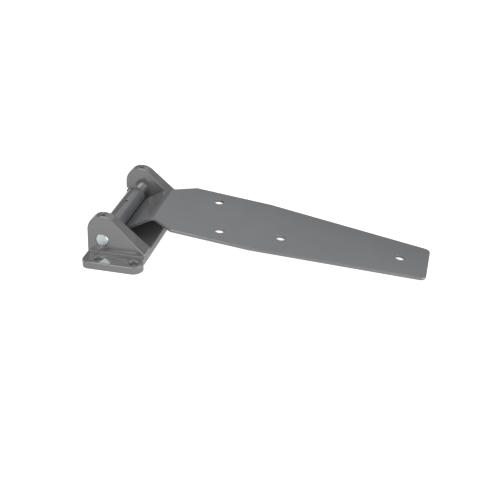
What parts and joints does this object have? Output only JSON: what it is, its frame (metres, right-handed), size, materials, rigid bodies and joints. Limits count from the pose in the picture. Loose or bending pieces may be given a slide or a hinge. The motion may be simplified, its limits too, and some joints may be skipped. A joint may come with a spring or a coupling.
{
  "type": "cam lift hinge",
  "caption": "Cam lift hinge for a heavy door: a long strap swings on a pin between the ears of a cast bracket and climbs along the pin as it opens.",
  "frame": {"origin": "centre of the bracket's flat mounting face", "axes": "+X from the pin towards the tip of the strap, +Y along the pin towards the end that is up in use, +Z away from the mounting face"},
  "size_m": [0.315, 0.1634, 0.0441],
  "materials": {
    "bracket_paint": "semi-gloss gray paint over a casting",
    "strap_paint": "semi-gloss gray paint over steel plate",
    "zinc_plated_steel": "bright zinc plating"
  },
  "bodies": {
    "bracket_body": {"mounting_bracket": "bracket_paint", "hinge_pin": "zinc_plated_steel", "lower_cam": "strap_paint", "lower_set_screw": "zinc_plated_steel", "upper_set_screw": "zinc_plated_steel"},
    "lifting_body": {"thrust_washer": "strap_paint"},
    "strap_body": {"hinge_strap": "strap_paint", "upper_cam": "strap_paint"}
  },
  "joints": [
    {"name": "lift", "type": "slide", "parent": "bracket_body", "child": "lifting_body", "axis": [0, 1, 0], "range_m": [0, 0.0095]},
    {"name": "swing", "type": "hinge", "parent": "lifting_body", "child": "strap_body", "pos_m": [-0.0132, 0, 0.0198], "axis": [0, -1, 0], "range_deg": [0, 126.58]}
  ],
  "couplings": [
    {"joint": "lift", "follows": "swing", "m_per_rad": 0.0043}
  ]
}
